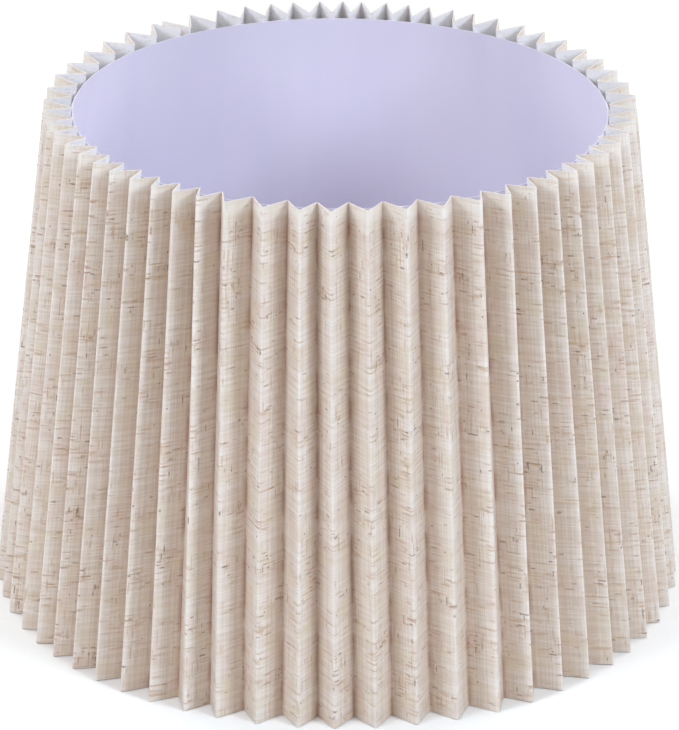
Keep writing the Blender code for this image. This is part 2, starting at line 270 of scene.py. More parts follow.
def linen_material():
    """Plain weave of uneven cream threads, with tan and brown slubs here and there."""
    graph = Graph("linen_weave", 0.88, Specular_IOR_Level=0.25, Sheen_Weight=0.12, Sheen_Roughness=0.5)
    place = thread_places(graph)
    along, up = place["along"], place["up"]
    weft, warp = place["weft"], place["warp"]

    cluster = graph.scaled_noise(along, up, 0.016, 0.012, detail=2.0, offset=11)
    gather = graph.math("MULTIPLY_ADD", cluster, 0.32, -0.16)

    # threads of uneven tone; which of the two lies on top is softened
    tone = graph.math("ADD", graph.cells(weft, 3.0), thread_noise(graph, along, weft, 0.014, 5.0))
    weft_colour = graph.mix(
        graph.step(tone, 0.45, 1.50), linear(226, 217, 209), linear(208, 194, 180))
    tone = graph.math("ADD", graph.cells(warp, 9.0), thread_noise(graph, up, warp, 0.020, 131.0))
    warp_colour = graph.mix(
        graph.step(tone, 0.50, 1.45), linear(226, 217, 209), linear(196, 180, 166))
    odd = graph.math("MODULO", graph.math("ABSOLUTE", graph.math("ADD", weft, warp)), 2.0)
    cloth = graph.mix(graph.math("MULTIPLY_ADD", odd, 0.24, 0.26), weft_colour, warp_colour)

    # painted light: darker and warmer towards the inner folds as painted shade in the grooves, paler
    # towards the outer folds as a painted highlight
    fold = graph.attribute("fold")
    cloth = graph.mix(graph.step(fold, 0.60, -0.45, 0.0, 0.28), cloth, linear(196, 168, 147))
    cloth = graph.mix(graph.step(fold, 0.25, 1.0, 0.0, 0.40), cloth, linear(238, 232, 229))

    # slubs, each along one thread
    over = graph.math("MULTIPLY_ADD", odd, -0.25, 0.75)
    slubs = (
        (along, weft, 0.0110, 61.0, 0.610, 0.80, linear(190, 157, 126)),
        (up, warp, 0.0120, 151.0, 0.660, 0.82, linear(190, 159, 131)),
        (along, weft, 0.0090, 83.0, 0.715, 0.82, linear(158, 121, 89)),
        (along, weft, 0.0070, 107.0, 0.780, 0.85, linear(110, 80, 58)),
        (up, warp, 0.0080, 173.0, 0.780, 0.85, linear(118, 88, 65)),
    )
    for way, thread, length, offset, low, high, colour in slubs:
        value = graph.math("ADD", thread_noise(graph, way, thread, length, offset), gather)
        cloth = graph.mix(graph.math("MULTIPLY", graph.step(value, low, high), over), cloth, colour)

    # broad uneven tints, a few seed specks, and painted shade in patches along the inner folds
    rosy = graph.scaled_noise(along, up, 0.011, 0.015, detail=1.0, offset=23)
    straw = graph.scaled_noise(along, up, 0.014, 0.011, detail=1.0, offset=67)
    cloth = graph.mix(graph.step(rosy, 0.46, 0.70, 0.0, 0.28), cloth, linear(210, 183, 172))
    cloth = graph.mix(graph.step(straw, 0.48, 0.72, 0.0, 0.30), cloth, linear(208, 192, 162))
    speck = graph.step(graph.cells(weft, warp), 0.9990, 0.9995, 0.0, 0.7)
    cloth = graph.mix(speck, cloth, linear(91, 67, 51))
    # painted shade: darker brown patches along the inner folds, where the grooves fall into shade
    shade_patches = graph.scaled_noise(along, up, 0.008, 0.014, detail=2.0, offset=91)
    shade_patches = graph.step(shade_patches, 0.38, 0.66, 0.15, 0.75)
    valley_shade = graph.math("MULTIPLY", shade_patches, graph.step(fold, -0.45, -1.0))
    cloth = graph.mix(valley_shade, cloth, linear(159, 115, 91))
    # painted light: the top band is painted paler, for light shining through the unbacked cloth
    edge = graph.math("MULTIPLY_ADD", cluster, 0.004, up)
    cloth = graph.mix(graph.step(edge, *PAINTED_GLOW_HEIGHTS, 0.0, 0.32), cloth, linear(240, 238, 235))
    graph.colour(cloth)

    # the relief of the weave
    weft_round = graph.math("SINE", graph.math("MULTIPLY", place["weft_across"], math.pi))
    warp_round = graph.math("SINE", graph.math("MULTIPLY", place["warp_across"], math.pi))
    under = graph.math("SUBTRACT", 1.0, odd)
    relief = graph.math("MULTIPLY", weft_round, graph.math("MULTIPLY_ADD", under, 0.45, 0.25))
    relief = graph.math(
        "MAXIMUM", relief, graph.math("MULTIPLY", warp_round, graph.math("MULTIPLY_ADD", odd, 0.6, 0.4)))
    lumps = thread_noise(graph, along, weft, 0.004, 61.0, 2.0)
    relief = graph.math("MULTIPLY_ADD", lumps, 0.9, relief)
    graph.bump(relief, 0.00008, 0.5)
    graph.rough(graph.step(lumps, 0.3, 0.7, 0.80, 0.93))
    return graph.material


def backing_material():
    """The thin white film on the strip's back, with the weave just showing through."""
    graph = Graph("backing_film", 0.5, Specular_IOR_Level=0.4)
    place = thread_places(graph)
    ghost = thread_noise(graph, place["along"], place["weft"], 0.005, 61.0, 2.0)
    cloud = graph.scaled_noise(place["along"], place["up"], 0.020, 0.030, offset=7)
    shade = graph.mix(
        graph.step(ghost, 0.58, 0.74, 0.0, 0.55), linear(243, 240, 241), linear(214, 210, 210))
    shade = graph.mix(graph.step(cloud, 0.45, 0.75, 0.0, 0.35), shade, linear(230, 229, 231))
    graph.colour(shade)
    weft_round = graph.math("SINE", graph.math("MULTIPLY", place["weft_across"], math.pi))
    graph.bump(graph.math("MULTIPLY_ADD", ghost, 1.0, weft_round), 0.00004, 0.5)
    graph.rough(graph.step(cloud, 0.3, 0.7, 0.42, 0.58))
    return graph.material


def cut_edge_material():
    """The strip's cut edge: white film with a little fluff of the linen."""
    graph = Graph("cut_edge", 0.85, Specular_IOR_Level=0.25)
    along, up, _ = graph.split(graph.uv("unfolded"))
    fluff = graph.scaled_noise(along, up, 0.0011, 0.002, detail=3.0)
    graph.colour(graph.mix(
        graph.step(fluff, 0.55, 0.72, 0.0, 0.6), linear(219, 211, 202), linear(198, 181, 162)))
    graph.bump(fluff, 0.0001, 0.8)
    return graph.material


def liner_material(name, tint, tint_pale):
    """Satin sheet plastic with a lavender cast and soft upright streaks."""
    graph = Graph(name, 0.5, Specular_IOR_Level=0.3)
    x, y, z = graph.split(graph.object_place())
    haze = graph.noise(graph.join(x, y, graph.math("MULTIPLY", z, 0.16)), scale=34.0, detail=2.0)
    grain = graph.noise(graph.join(x, y, z), scale=900.0, detail=2.0)
    graph.colour(graph.mix(graph.step(haze, 0.35, 0.65), tint, tint_pale))
    graph.bump(graph.math("MULTIPLY_ADD", haze, 4.0, grain), 0.00003, 0.4)
    graph.rough(graph.step(haze, 0.3, 0.7, 0.46, 0.60))
    return graph.material


def paint_material():
    """White powder coat: fine orange peel, a few grey rubs."""
    graph = Graph("white_powder_coat", 0.4, Specular_IOR_Level=0.5, Coat_Weight=0.15, Coat_Roughness=0.25)
    spot = graph.object_place()
    peel = graph.noise(spot, scale=1500.0, detail=2.0)
    cloud = graph.noise(spot, scale=60.0, detail=3.0)
    rub = graph.step(graph.noise(spot, scale=240.0, detail=4.0), 0.68, 0.76, 0.0, 0.6)
    shade = graph.mix(graph.step(cloud, 0.4, 0.7), linear(238, 238, 236), linear(226, 225, 221))
    graph.colour(graph.mix(rub, shade, linear(172, 170, 166)))
    graph.bump(peel, 0.00006, 0.5)
    graph.rough(graph.step(cloud, 0.3, 0.7, 0.34, 0.48))
    return graph.material


def weld_material():
    """Weld metal under the same white coat, rougher and a little discoloured."""
    graph = Graph("painted_weld", 0.5, Specular_IOR_Level=0.5)
    spot = graph.object_place()
    grain = graph.noise(spot, scale=900.0, detail=3.0)
    scorch = graph.noise(spot, scale=160.0, detail=2.0)
    graph.colour(graph.mix(
        graph.step(scorch, 0.5, 0.72, 0.0, 0.6), linear(232, 231, 228), linear(176, 166, 152)))
    graph.bump(grain, 0.0002, 0.7)
    graph.rough(graph.step(grain, 0.3, 0.7, 0.4, 0.6))
    return graph.material


def strip_steel_material():
    """Spring-steel strip with a thin white coat, its rolling lines just showing."""
    graph = Graph("coated_strip", 0.4, Specular_IOR_Level=0.5)
    x, y, z = graph.split(graph.object_place())
    turn = graph.math("ARCTAN2", y, x)
    lines = graph.noise(graph.join(graph.math("MULTIPLY", turn, 6.0), graph.math("MULTIPLY", z, 9000.0)),
                        detail=2.0, dimensions="2D")
    cloud = graph.noise(graph.join(x, y, z), scale=45.0, detail=2.0)
    graph.colour(graph.mix(
        graph.step(cloud, 0.35, 0.7), linear(242, 242, 241), linear(230, 230, 227)))
    graph.bump(lines, 0.00003, 0.5)
    graph.rough(graph.step(lines, 0.3, 0.7, 0.34, 0.5))
    return graph.material


def tape_material(name, pale, dull, roughness):
    """Film tape with faint wrinkles and trapped air."""
    graph = Graph(name, roughness, Specular_IOR_Level=0.5)
    spot = graph.object_place()
    wrinkle = graph.noise(spot, scale=220.0, detail=3.0)
    air = graph.step(graph.noise(spot, scale=420.0, detail=1.0), 0.62, 0.70)
    graph.colour(graph.mix(air, pale, dull))
    graph.bump(graph.math("MULTIPLY_ADD", air, 0.5, wrinkle), 0.00005, 0.5)
    graph.rough(graph.step(wrinkle, 0.3, 0.7, roughness - 0.08, roughness + 0.1))
    return graph.material


def glue_material():
    """Dried glue, yellowing a little, with bubbles."""
    graph = Graph("dried_glue", 0.25, Specular_IOR_Level=0.5)
    spot = graph.object_place()
    flow = graph.noise(spot, scale=130.0, detail=2.0)
    bubble = graph.step(graph.noise(spot, scale=700.0, detail=1.0), 0.66, 0.72)
    tint = graph.mix(graph.step(flow, 0.35, 0.7), linear(238, 236, 228), linear(226, 216, 194))
    graph.colour(graph.mix(bubble, tint, linear(246, 246, 242)))
    graph.bump(graph.math("MULTIPLY_ADD", flow, 2.0, bubble), 0.0001, 0.5)
    graph.rough(graph.step(flow, 0.3, 0.7, 0.2, 0.4))
    return graph.material


def fibre_material():
    """Pressed brown fibre board."""
    graph = Graph("pressed_fibre", 0.8, Specular_IOR_Level=0.3)
    x, y, z = graph.split(graph.object_place())
    hairs = graph.noise(graph.join(graph.math("MULTIPLY", x, 3.0), y, graph.math("MULTIPLY", z, 2.0)),
                        scale=1600.0, detail=3.0)
    graph.colour(graph.mix(graph.step(hairs, 0.35, 0.68), linear(120, 92, 66), linear(166, 134, 100)))
    graph.bump(hairs, 0.00008, 0.8)
    graph.rough(graph.step(hairs, 0.3, 0.7, 0.72, 0.88))
    return graph.material


def moulded_material():
    """Satin white moulded plastic with a fine spark-eroded grain."""
    graph = Graph("moulded_plastic", 0.42, Specular_IOR_Level=0.5)
    spot = graph.object_place()
    grain = graph.noise(spot, scale=2400.0, detail=1.0)
    flow = graph.noise(spot, scale=70.0, detail=2.0)
    graph.colour(graph.mix(graph.step(flow, 0.35, 0.7), linear(241, 241, 238), linear(233, 232, 226)))
    graph.bump(grain, 0.00004, 0.5)
    graph.rough(graph.step(flow, 0.3, 0.7, 0.36, 0.48))
    return graph.material


# ---- piece making ----

def place_piece(obj, body, slot, *nodes):
    """Link obj, hang it on its CAD body, and let it stand for CAD nodes."""
    bpy.context.scene.collection.objects.link(obj)
    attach(obj, body)
    if nodes:
        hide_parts(*nodes)
    return obj


def finish_mesh(name, mesh, materials, smooth=True):
    for material in materials:
        mesh.materials.append(material)
    if smooth:
        mesh.polygons.foreach_set("use_smooth", [True] * len(mesh.polygons))
    mesh.update()
    return bpy.data.objects.new(name, mesh)


def point_outwards(mesh):
    body = bmesh.new()
    body.from_mesh(mesh)
    bmesh.ops.recalc_face_normals(body, faces=body.faces)
    body.to_mesh(mesh)
    body.free()


def thin_sheet(name, outer, inner, lengths, heights, materials, values=None):
    """A closed thin sheet between two grids of points, each with rows from low to high.

    lengths and heights give its unfolded place in metres, and materials its outer side, inner side and cut
    edges.  values is a number for each column, kept as the attribute "fold".
    """
    rows, count = len(outer), len(outer[0])
    points = [point for grid in (outer, inner) for row in grid for point in row]
    faces = []
    kinds = []

    def corner(side, row, column):
        return (side * rows + row) * count + column

    for side in (0, 1):
        for row in range(rows - 1):
            for column in range(count - 1):
                quad = [corner(side, row, column), corner(side, row, column + 1),
                        corner(side, row + 1, column + 1), corner(side, row + 1, column)]
                faces.append(quad if side == 0 else quad[::-1])
                kinds.append(side)
    for row in (0, rows - 1):
        for column in range(count - 1):
            quad = [corner(0, row, column), corner(0, row, column + 1),
                    corner(1, row, column + 1), corner(1, row, column)]
            faces.append(quad[::-1] if row == 0 else quad)
            kinds.append(2)
    for column in (0, count - 1):
        for row in range(rows - 1):
            quad = [corner(0, row, column), corner(0, row + 1, column),
                    corner(1, row + 1, column), corner(1, row, column)]
            faces.append(quad if column == 0 else quad[::-1])
            kinds.append(2)
    mesh = bpy.data.meshes.new(name)
    mesh.from_pydata(points, [], faces)
    if len(materials) > 1:
        mesh.polygons.foreach_set("material_index", kinds)
    layer = mesh.uv_layers.new(name="unfolded")
    places = []
    for loop in mesh.loops:
        index = loop.vertex_index % (rows * count)
        places += (lengths[index % count], heights[index // count])
    layer.data.foreach_set("uv", places)
    if values:
        attribute = mesh.attributes.new("fold", "FLOAT", "POINT")
        attribute.data.foreach_set("value", list(values) * (2 * rows))
    for edge in mesh.edges:
        spots = [index % (rows * count) for index in edge.vertices]
        if all(s // count == 0 for s in spots) or all(s // count == rows - 1 for s in spots) or all(
                s % count == 0 for s in spots) or all(s % count == count - 1 for s in spots):
            edge.use_edge_sharp = True
    return finish_mesh(name, mesh, materials)


# ---- the folded cover ----

def fold_azimuths():
    """Inner and outer folds in turn, from one cut end of the strip to the other; the odd ones are outer."""
    jitter = random.Random(PLEAT_SEED)
    ridges = []
    for index in range(RIDGES):
        share = index / (RIDGES - 1)
        turn = 2 * math.pi * share
        azimuth = SEAM_AZIMUTH + STRIP_SWEEP * share + jitter.uniform(-PLEAT_JITTER, PLEAT_JITTER)
        for harmonic, (sine, cosine) in enumerate(PLEAT_DRIFT, start=1):
            azimuth += sine * math.sin(harmonic * turn) + cosine * (math.cos(harmonic * turn) - 1)
        ridges.append(azimuth)
    folds = [ridges[0] - (ridges[1] - ridges[0]) / 2]
    for index, ridge in enumerate(ridges):
        folds.append(ridge)
        if index + 1 < len(ridges):
            folds.append((ridge + ridges[index + 1]) / 2)
    return folds


def swell(azimuth):
    return SWELL_HEIGHT * math.exp(-(((azimuth % 360 - SWELL_AZIMUTH) / SWELL_WIDTH) ** 2))


def lean(azimuth):
    """How far, in degrees, a fold's top end stands from straight above its foot."""
    total = 0.0
    for centre, width, amount in TOP_LEANS:
        away = (azimuth - centre + 180) % 360 - 180
        total += amount * math.exp(-((away / width) ** 2))
    return total


def turn_between(before, after):
    """The angle that the line turns through, its sign by side."""
    return math.atan2(before.x * after.y - before.y * after.x, before.dot(after))


def corner_places(folds, share):
    """The folds' corners in plan at one level, so that each rounded tip lies on its cone."""
    ridge = between(BOTTOM_RIDGE_RADIUS, TOP_RIDGE_RADIUS, share)
    valley = between(BOTTOM_VALLEY_RADIUS, TOP_VALLEY_RADIUS, share)
    corners = []
    for index, azimuth in enumerate(folds):
        outer = index % 2 == 1
        reach = ridge - COVER_THICKNESS / 2 if outer else valley + COVER_THICKNESS / 2
        if 0 < index < len(folds) - 1:
            half_pitch = math.radians((folds[index + 1] - folds[index - 1]) / 2)
            opening = math.atan2((ridge + valley) / 2 * math.tan(half_pitch), ridge - valley)
            bend = RIDGE_BEND if outer else VALLEY_BEND
            reach += (1 if outer else -1) * bend * (1 / math.sin(opening) - 1)
        wander = noise.noise(Vector((index * 3.7, share * 2.6, 0.5)))
        stray = noise.noise(Vector((index * 5.3, share * 3.1, 9.5)))
        reach += FOLD_WANDER * 0.5 * stray + swell(azimuth)
        turned = azimuth + share * lean(azimuth) + math.degrees(FOLD_WANDER * wander / reach)
        corners.append(polar(reach, turned))
    return corners


def folded_line(corners, share):
    """The strip's centre line in plan with rounded folds: its points, sideways normals and fold values."""
    points = []
    normals = []
    values = []

    def add(point, along, value):
        points.append(point)
        normals.append(Vector((along.y, -along.x, 0)).normalized())
        values.append(value)

    last = len(corners) - 1
    ways = [(end - start).normalized() for start, end in zip(corners, corners[1:])]
    cuts = [0.0] * len(corners)
    for index in range(1, last):
        bend = RIDGE_BEND if index % 2 else VALLEY_BEND
        cuts[index] = bend * math.tan(abs(turn_between(ways[index - 1], ways[index])) / 2)
    add(corners[0], ways[0], -1.0)
    for index in range(last):
        way = ways[index]
        start = corners[index] + way * cuts[index]
        end = corners[index + 1] - way * cuts[index + 1]
        side = Vector((way.y, -way.x, 0))
        bow = PANEL_BOW * noise.noise(Vector((index * 2.9, share * 3.3, 4.5)))
        low_value, high_value = (0.86, -0.86) if index % 2 else (-0.86, 0.86)
        for step in range(1, PANEL_STEPS):
            part = step / PANEL_STEPS
            point = start.lerp(end, part) + side * (bow * 4 * part * (1 - part))
            add(point, way, between(low_value, high_value, part))
        if index + 1 < last:
            outer = (index + 1) % 2 == 1
            steps = RIDGE_ARC if outer else VALLEY_ARC
            turn = turn_between(way, ways[index + 1])
            bend = RIDGE_BEND if outer else VALLEY_BEND
            centre = end + Vector((-way.y, way.x, 0)) * (bend * (1 if turn > 0 else -1))
            for step in range(steps + 1):
                part = step / steps
                spin = Matrix.Rotation(turn * part, 3, "Z")
                peak = 1 - abs(2 * part - 1) * 0.14
                add(centre + spin @ (end - centre), spin @ way, peak if outer else -peak)
    add(corners[last], ways[-1], 1.0)
    return points, normals, values


def make_cover(materials):
    folds = fold_azimuths()
    outer, inner, heights = [], [], []
    slant = math.hypot(HEIGHT, BOTTOM_RIDGE_RADIUS - TOP_RIDGE_RADIUS)
    values = None
    middle = None
    for row in range(COVER_ROWS + 1):
        share = row / COVER_ROWS
        points, normals, values = folded_line(corner_places(folds, share), share)
        if row == COVER_ROWS // 2:
            middle = points
        outer_row, inner_row = [], []
        for column, (point, normal) in enumerate(zip(points, normals)):
            place = column * 0.11
            rise = (HEIGHT - TOP_DIP * (1 - values[column]) / 2) * share
            rise += EDGE_UNEVENNESS * noise.noise(Vector((place, 1.5, 0.5))) * share ** 12
            lift = 0.5 + 0.5 * noise.noise(Vector((place, 7.5, 0.5)))
            rise += EDGE_UNEVENNESS * lift * (1 - share) ** 12
            level = Vector((0, 0, rise))
            outer_row.append(point + level + normal * (COVER_THICKNESS / 2))
            inner_row.append(point + level - normal * (COVER_THICKNESS / 2))
        outer.append(outer_row)
        inner.append(inner_row)
        heights.append(slant * share)
    lengths = [0.0]
    for start, end in zip(middle, middle[1:]):
        lengths.append(lengths[-1] + (end - start).length)
    cover = thin_sheet("cover_linen", outer, inner, lengths, heights, materials, values)
    place_piece(cover, "shade", "linen", "pleated_cover")
    return cover


# ---- the liner and its bands ----

LINER_THICKNESS = 0.00032
LAP_DEGREES = 4.5
LINER_COLUMNS = 240
LINER_ROWS = 24
TAPE_WIDTH_DEGREES = 6.0
TAPE_WIDTH = 0.0145
TAPE_THICKNESS = 0.0001


def make_liner(material, edge):
    """A sheet rolled into a cone, its last few degrees lapped inside its first."""
    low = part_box("liner")[0].z
    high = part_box("liner")[1].z
    start = TAPE_AZIMUTH - LAP_DEGREES / 2
    sweep = 360 + LAP_DEGREES
    outer, inner, heights = [], [], []
    for row in range(LINER_ROWS + 1):
        height = between(low, high, row / LINER_ROWS)
        rows = ([], [])
        for column in range(LINER_COLUMNS + 1):
            turned = sweep * column / LINER_COLUMNS
            lap = smooth_share((turned - 352) / 7)
            ripple = 0.00003 * noise.noise(Vector((column * 0.09, height * 30, 2.5)))
            radius = valley_radius(height) - LINER_INSET - (LINER_THICKNESS + 0.00004) * lap - abs(ripple)
            for side in (0, 1):
                rows[side].append(polar(radius - side * LINER_THICKNESS, start + turned, height))
        outer.append(rows[0])
        inner.append(rows[1])
        heights.append((high - low) * row / LINER_ROWS)
    radius = valley_radius((low + high) / 2) - LINER_INSET
    lengths = [math.radians(sweep * column / LINER_COLUMNS) * radius for column in range(LINER_COLUMNS + 1)]
    liner = thin_sheet("liner_sheet", outer, inner, lengths, heights, [material, material, edge])
    return place_piece(liner, "shade", "liner", "liner")


def make_tape(material):
    low, high = (corner.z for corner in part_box("liner_seam_tape"))
    inset = LINER_INSET + 2 * LINER_THICKNESS + 0.00014
    outer, inner, heights = [], [], []
    columns = 16
    rows = 40
    for row in range(rows + 1):
        height = between(low, high, row / rows)
        sides = ([], [])
        for column in range(columns + 1):
            share = column / columns
            azimuth = TAPE_AZIMUTH + TAPE_WIDTH_DEGREES * (share - 0.5)
            wave = 0.00003 * noise.noise(Vector((column * 0.7, row * 0.5, 3.5)))
            shift = 0.0002 * noise.noise(Vector((row * 0.4, 8.5, 0.0)))
            radius = valley_radius(height) - inset - abs(wave)
            for side in (0, 1):
                point = polar(radius - side * TAPE_THICKNESS, azimuth, height)
                sides[side].append(point + Vector((shift, 0, 0)))
        outer.append(sides[0])
        inner.append(sides[1])
        heights.append((high - low) * row / rows)
    lengths = [TAPE_WIDTH * column / columns for column in range(columns + 1)]
    tape = thin_sheet("seam_tape", outer, inner, lengths, heights, [material])
    return place_piece(tape, "shade", "liner_tape", "liner_seam_tape")


def lathe(name, profile, steps, materials, wobble=0.0, seed=0.0, centre=None, smooth=True):
    """A closed (radius, height) outline turned about Z, with a little unevenness of wobble metres."""
    count = len(profile)
    points = []
    for step in range(steps):
        azimuth = 360 * step / steps
        for index, (radius, height) in enumerate(profile):
            spot = polar(1.7, azimuth) + Vector((0, 0, seed + index * 0.07))
            radius += wobble * noise.noise(spot * 4)
            rise = wobble * noise.noise(spot * 4 + Vector((31, 0, 0)))
            points.append(polar(radius, azimuth, height + rise))
    faces = []
    for step in range(steps):
        after = (step + 1) % steps
        for index in range(count):
            following = (index + 1) % count
            faces.append((step * count + index, after * count + index,
                          after * count + following, step * count + following))
    mesh = bpy.data.meshes.new(name)
    mesh.from_pydata(points, [], faces)
    point_outwards(mesh)
    return finish_mesh(name, mesh, materials, smooth)


def rounded(outline, radius, steps=3):
    """A closed outline with its corners rounded."""
    places = [Vector(point) for point in outline]
    made = []
    for index, corner in enumerate(places):
        before = places[index - 1] - corner
        after = places[(index + 1) % len(places)] - corner
        reach = min(radius, before.length * 0.45, after.length * 0.45)
        start = corner + before.normalized() * reach
        end = corner + after.normalized() * reach
        for step in range(steps + 1):
            share = step / steps
            made.append(tuple(start.lerp(corner, share).lerp(corner.lerp(end, share), share)))
    return made


def band_profile(node, outer_inset, thickness, drop):
    low, high = (corner.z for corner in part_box(node))
    high -= drop
    outline = []
    for share in (0.0, 0.25, 0.5, 0.75, 1.0):
        height = between(low, high, share)
        outline.append((valley_radius(height) - outer_inset, height))
    for share in (1.0, 0.75, 0.5, 0.25, 0.0):
        height = between(low, high, share)
        outline.append((valley_radius(height) - outer_inset - thickness, height))
    return rounded(outline, 0.00006, 2)


def make_bands(steel, glue_tape):
    rows = (
        ("top_hoop_strip", "top_hoop", steel, "steel_strip", 0.0, 0.00012, 0.00068, 0.0008),
        ("middle_band", "middle_glue_band", glue_tape, "glue_tape", 0.00003, 0.00032, 0.00026, 0.0),
        ("bottom_band", "bottom_glue_band", glue_tape, "glue_tape", 0.00003, 0.00032, 0.00026, 0.0),
    )
    for seed, (name, node, material, slot, wobble, inset, thickness, drop) in enumerate(rows):
        band = lathe(name, band_profile(node, inset, thickness, drop), 360, [material], wobble, seed)
        place_piece(band, "shade", slot, node)


# ---- ring, glue and pivots ----

def circle_profile(radius, height, wire, sides=16):
    spots = [math.tau * index / sides for index in range(sides)]
    return [(radius + wire * math.cos(a), height + wire * math.sin(a)) for a in spots]


def make_ring(paint, glue):
    ring = lathe("bottom_wire_ring", circle_profile(RING_RADIUS, RING_HEIGHT, RING_WIRE_RADIUS), 300,
                 [paint], 0.00006, 2.0)
    place_piece(ring, "shade", "steel_wire", "bottom_ring")
    inset = LINER_INSET + LINER_THICKNESS + 0.00025
    outline = [
        (valley_radius(0.0098) - inset, 0.0098),
        (valley_radius(0.0088) - inset, 0.0088),
        (valley_radius(0.0077) - inset, 0.0077),
        (RING_RADIUS + 0.0008, RING_HEIGHT + 0.00165),
        (RING_RADIUS - 0.0001, RING_HEIGHT + 0.0019),
        (RING_RADIUS + 0.0002, RING_HEIGHT + 0.0025),
    ]
    bead = lathe("glue_bead", rounded(outline, 0.0004), 480, [glue], 0.00022, 5.0)
    place_piece(bead, "shade", "glue", "ring_glue_bead")


def flat_plate(name, outlines, thickness, edge, material):
    """A flat plate with rounded edges from closed outlines, lying in its own XY plane."""
    curve = bpy.data.curves.new(name, "CURVE")
    curve.dimensions = "2D"
    curve.fill_mode = "BOTH"
    curve.extrude = thickness / 2 - edge
    curve.bevel_depth = edge
    curve.bevel_resolution = 2
    curve.offset = -edge
    for outline in outlines:
        spline = curve.splines.new("POLY")
        spline.points.add(len(outline) - 1)
        spline.use_cyclic_u = True
        for point, (x, y) in zip(spline.points, outline):
            point.co = (x, y, 0.0, 1.0)
    holder = bpy.data.objects.new(name, curve)
    bpy.context.scene.collection.objects.link(holder)
    bpy.context.view_layer.update()
    mesh = bpy.data.meshes.new_from_object(holder.evaluated_get(bpy.context.evaluated_depsgraph_get()))
    bpy.data.objects.remove(holder)
    body = bmesh.new()
    body.from_mesh(mesh)
    bmesh.ops.remove_doubles(body, verts=body.verts, dist=1e-6)
    bmesh.ops.recalc_face_normals(body, faces=body.faces)
    for long_edge in body.edges:
        long_edge.smooth = len(long_edge.link_faces) != 2 or long_edge.calc_face_angle(0) < 0.9
    body.to_mesh(mesh)
    body.free()
    mesh.materials.clear()
    return finish_mesh(name, mesh, [material])


def ring_points(radius, count=40):
    return [(radius * math.cos(math.tau * i / count), radius * math.sin(math.tau * i / count))
            for i in range(count)]


def stand_across_x(obj, x):
    """Turn a plate from its own XY to the frame's YZ, with its middle at x on the pivots' axis."""
    spin = Matrix.Translation((x, 0, PIVOT_HEIGHT)) @ Matrix.Rotation(math.pi / 2, 4, "Z")
    obj.data.transform(spin @ Matrix.Rotation(math.pi / 2, 4, "X"))


def weld(name, centre, size, seed, material, body, slot="steel_wire"):
    """A short weld bead: a lumpy drawn-out drop with ripples along it."""
    rings, sides = 26, 20
    points = []
    for ring in range(rings + 1):
        lean = math.pi * ring / rings
        for side in range(sides):
            turn = math.tau * side / sides
            way = Vector((math.cos(lean), math.sin(lean) * math.cos(turn), math.sin(lean) * math.sin(turn)))
            lump = 1 + 0.10 * noise.noise(way * 1.9 + Vector((seed * 7.0, 0, 0)))
            lump += 0.05 * math.sin(way.x * 9 + seed) * math.sin(lean)
            reach = Vector((way.x * size[0], way.y * size[1], way.z * size[2]))
            points.append(Vector(centre) + reach * lump)
    faces = []
    for ring in range(rings):
        for side in range(sides):
            after = (side + 1) % sides
            faces.append((ring * sides + side, ring * sides + after,
                          (ring + 1) * sides + after, (ring + 1) * sides + side))
    mesh = bpy.data.meshes.new(name)
    mesh.from_pydata(points, [], faces)
    body_mesh = bmesh.new()
    body_mesh.from_mesh(mesh)
    bmesh.ops.remove_doubles(body_mesh, verts=body_mesh.verts, dist=1e-7)
    bmesh.ops.recalc_face_normals(body_mesh, faces=body_mesh.faces)
    body_mesh.to_mesh(mesh)
    body_mesh.free()
    obj = finish_mesh(name, mesh, [material])
    return place_piece(obj, body, slot)


def rivet_profile(outer_face, inner_face):
    """A domed head, the shank and a flatter set head, as (radius, place along the axis)."""
    head, shank, dome = RIVET_HEAD_RADIUS, RIVET_RADIUS, RIVET_DOME
    profile = [(0.00001, outer_face + dome)]
    for step in range(1, 7):
        lean = math.pi / 2 * step / 6
        profile.append((head * math.sin(lean), outer_face + 0.0002 + (dome - 0.0002) * math.cos(lean)))
    profile += [(head - 0.0001, outer_face), (shank + 0.0001, outer_face), (shank, outer_face - 0.0001)]
    profile += [(shank, inner_face + 0.0001), (shank + 0.0001, inner_face), (head - 0.0004, inner_face)]
    for step in range(6, 0, -1):
        lean = math.pi / 2 * step / 6
        place = inner_face - 0.0001 - (dome - 0.0003) * math.cos(lean)
        profile.append(((head - 0.0003) * math.sin(lean), place))
    profile.append((0.00001, inner_face - dome + 0.0002))
    return profile


